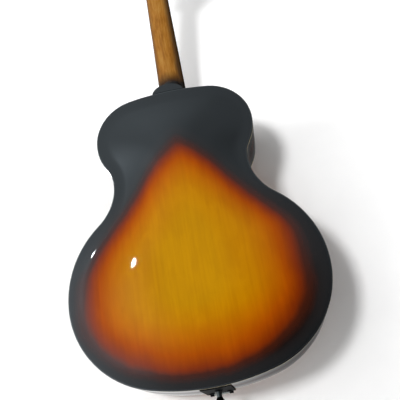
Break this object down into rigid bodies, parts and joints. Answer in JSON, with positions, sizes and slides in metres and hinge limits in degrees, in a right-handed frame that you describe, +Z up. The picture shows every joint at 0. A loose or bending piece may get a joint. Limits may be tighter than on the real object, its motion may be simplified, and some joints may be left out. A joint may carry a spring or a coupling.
{
  "type": "archtop guitar",
  "caption": "Hollow archtop guitar with carved top and back, f-shaped sound holes, floating bridge, hinged trapeze tailpiece and geared tuning machines.",
  "frame": {"origin": "middle of the nut, on the plane where the fretboard is glued to the neck, where a hanger's yoke carries the headstock", "axes": "+Z up along the body and neck, strings face -Y, back of the body faces +Y, +X to the right seen from the front"},
  "size_m": [0.406, 0.1465, 1.053],
  "materials": {
    "burst_lacquer": "gloss sunburst lacquer over maple and spruce",
    "binding_cream": "gloss",
    "neck_lacquer": "gloss amber brown lacquer",
    "dark_wood": "oiled rosewood",
    "bare_wood": "unfinished",
    "black_lacquer": "gloss black",
    "nickel": "polished nickel plate",
    "steel": "bare steel",
    "fret_wire": "polished nickel silver",
    "bronze_wound": "round wound",
    "plain_steel": "polished",
    "bone": "polished bone",
    "pearl": "pearl",
    "tortoise_plastic": "gloss mottled brown",
    "ivory_plastic": "gloss"
  },
  "bodies": {
    "guitar": {"top_plate": "burst_lacquer", "back_plate": "burst_lacquer", "top_binding": "binding_cream", "back_binding": "binding_cream", "bass_rib": "burst_lacquer", "treble_rib": "burst_lacquer", "neck_block": "bare_wood", "tail_block": "bare_wood", "linings": "bare_wood", "tone_bars": "bare_wood", "neck": "neck_lacquer", "heel_cap": "black_lacquer", "headstock_veneer": "black_lacquer", "truss_rod": "steel", "truss_rod_cover": "black_lacquer", "fretboard": "dark_wood", "frets": "fret_wire", "position_markers": "pearl", "nut": "bone", "tuner_housings": "nickel", "tuner_bushings": "nickel", "bridge_base": "dark_wood", "bridge_posts": "nickel", "tailpiece_hinge_pin": "nickel", "tailpiece_bracket": "nickel", "tailpiece_screws": "nickel", "strap_button": "nickel", "strap_button_screw": "nickel", "string_1": "plain_steel", "string_2": "plain_steel", "string_3": "bronze_wound", "string_4": "bronze_wound", "string_5": "bronze_wound", "string_6": "bronze_wound", "pickguard": "tortoise_plastic", "pickguard_bracket": "nickel", "small_screws": "nickel"},
    "tuner_key_1": {"tuner_1_button": "ivory_plastic", "tuner_1_worm": "nickel"},
    "string_post_1": {"tuner_1_post": "nickel"},
    "tuner_key_2": {"tuner_2_button": "ivory_plastic", "tuner_2_worm": "nickel"},
    "string_post_2": {"tuner_2_post": "nickel"},
    "tuner_key_3": {"tuner_3_button": "ivory_plastic", "tuner_3_worm": "nickel"},
    "string_post_3": {"tuner_3_post": "nickel"},
    "tuner_key_4": {"tuner_4_button": "ivory_plastic", "tuner_4_worm": "nickel"},
    "string_post_4": {"tuner_4_post": "nickel"},
    "tuner_key_5": {"tuner_5_button": "ivory_plastic", "tuner_5_worm": "nickel"},
    "string_post_5": {"tuner_5_post": "nickel"},
    "tuner_key_6": {"tuner_6_button": "ivory_plastic", "tuner_6_worm": "nickel"},
    "string_post_6": {"tuner_6_post": "nickel"},
    "bridge_top": {"bridge_saddle": "dark_wood"},
    "bass_wheel": {"bridge_bass_thumbwheel": "nickel"},
    "treble_wheel": {"bridge_treble_thumbwheel": "nickel"},
    "tailpiece": {"tailpiece_frame": "nickel"},
    "truss_nut": {"truss_rod_nut": "nickel"}
  },
  "joints": [
    {"name": "tuner_1_turn", "type": "hinge", "parent": "guitar", "child": "tuner_key_1", "pos_m": [0.024, 0.03021, 0.03671], "axis": [1, 0, 0], "continuous": true, "deforming": ["string_1"]},
    {"name": "string_post_1_turn", "type": "hinge", "parent": "guitar", "child": "string_post_1", "pos_m": [0.024, 0.02945, 0.046], "axis": [0, 0.9511, -0.309], "continuous": true, "deforming": ["string_1"]},
    {"name": "tuner_2_turn", "type": "hinge", "parent": "guitar", "child": "tuner_key_2", "pos_m": [0.024, 0.04319, 0.07666], "axis": [1, 0, 0], "continuous": true, "deforming": ["string_2"]},
    {"name": "string_post_2_turn", "type": "hinge", "parent": "guitar", "child": "string_post_2", "pos_m": [0.024, 0.04243, 0.08595], "axis": [0, 0.9511, -0.309], "continuous": true, "deforming": ["string_2"]},
    {"name": "tuner_3_turn", "type": "hinge", "parent": "guitar", "child": "tuner_key_3", "pos_m": [0.024, 0.05617, 0.1166], "axis": [1, 0, 0], "continuous": true, "deforming": ["string_3"]},
    {"name": "string_post_3_turn", "type": "hinge", "parent": "guitar", "child": "string_post_3", "pos_m": [0.024, 0.05541, 0.12589], "axis": [0, 0.9511, -0.309], "continuous": true, "deforming": ["string_3"]},
    {"name": "tuner_4_turn", "type": "hinge", "parent": "guitar", "child": "tuner_key_4", "pos_m": [-0.024, 0.05617, 0.1166], "axis": [1, 0, 0], "continuous": true, "deforming": ["string_4"]},
    {"name": "string_post_4_turn", "type": "hinge", "parent": "guitar", "child": "string_post_4", "pos_m": [-0.024, 0.05541, 0.12589], "axis": [0, 0.9511, -0.309], "continuous": true, "deforming": ["string_4"]},
    {"name": "tuner_5_turn", "type": "hinge", "parent": "guitar", "child": "tuner_key_5", "pos_m": [-0.024, 0.04319, 0.07666], "axis": [1, 0, 0], "continuous": true, "deforming": ["string_5"]},
    {"name": "string_post_5_turn", "type": "hinge", "parent": "guitar", "child": "string_post_5", "pos_m": [-0.024, 0.04243, 0.08595], "axis": [0, 0.9511, -0.309], "continuous": true, "deforming": ["string_5"]},
    {"name": "tuner_6_turn", "type": "hinge", "parent": "guitar", "child": "tuner_key_6", "pos_m": [-0.024, 0.03021, 0.03671], "axis": [1, 0, 0], "continuous": true, "deforming": ["string_6"]},
    {"name": "string_post_6_turn", "type": "hinge", "parent": "guitar", "child": "string_post_6", "pos_m": [-0.024, 0.02945, 0.046], "axis": [0, 0.9511, -0.309], "continuous": true, "deforming": ["string_6"]},
    {"name": "bridge_height", "type": "slide", "parent": "guitar", "child": "bridge_top", "axis": [0, -1, 0], "range_m": [-0.002, 0.004], "deforming": ["string_1", "string_2", "string_3", "string_4", "string_5", "string_6"]},
    {"name": "bass_wheel_turn", "type": "hinge", "parent": "bridge_top", "child": "bass_wheel", "pos_m": [-0.034, -0.04472, -0.62634], "axis": [0, -1, 0], "range_deg": [-1031, 2059]},
    {"name": "treble_wheel_turn", "type": "hinge", "parent": "bridge_top", "child": "treble_wheel", "pos_m": [0.034, -0.04472, -0.62634], "axis": [0, -1, 0], "range_deg": [-1031, 2059]},
    {"name": "tailpiece_swing", "type": "hinge", "parent": "guitar", "child": "tailpiece", "pos_m": [0, -0.02182, -0.85657], "axis": [1, 0, 0], "range_deg": [-0.6, 1.1], "deforming": ["string_1", "string_2", "string_3", "string_4", "string_5", "string_6"]},
    {"name": "truss_nut_turn", "type": "hinge", "parent": "guitar", "child": "truss_nut", "pos_m": [0, 0.00647, 0.00656], "axis": [0, 0.0698, 0.9976], "range_deg": [-180, 180]}
  ],
  "couplings": [
    {"joint": "string_post_1_turn", "follows": "tuner_1_turn", "ratio": -0.066667},
    {"joint": "string_post_2_turn", "follows": "tuner_2_turn", "ratio": -0.066667},
    {"joint": "string_post_3_turn", "follows": "tuner_3_turn", "ratio": -0.066667},
    {"joint": "string_post_4_turn", "follows": "tuner_4_turn", "ratio": 0.066667},
    {"joint": "string_post_5_turn", "follows": "tuner_5_turn", "ratio": 0.066667},
    {"joint": "string_post_6_turn", "follows": "tuner_6_turn", "ratio": 0.066667},
    {"joint": "bass_wheel_turn", "follows": "bridge_height", "rad_per_m": 8976},
    {"joint": "treble_wheel_turn", "follows": "bridge_height", "rad_per_m": 8976},
    {"joint": "tailpiece_swing", "follows": "bridge_height", "rad_per_m": 4.3434}
  ]
}
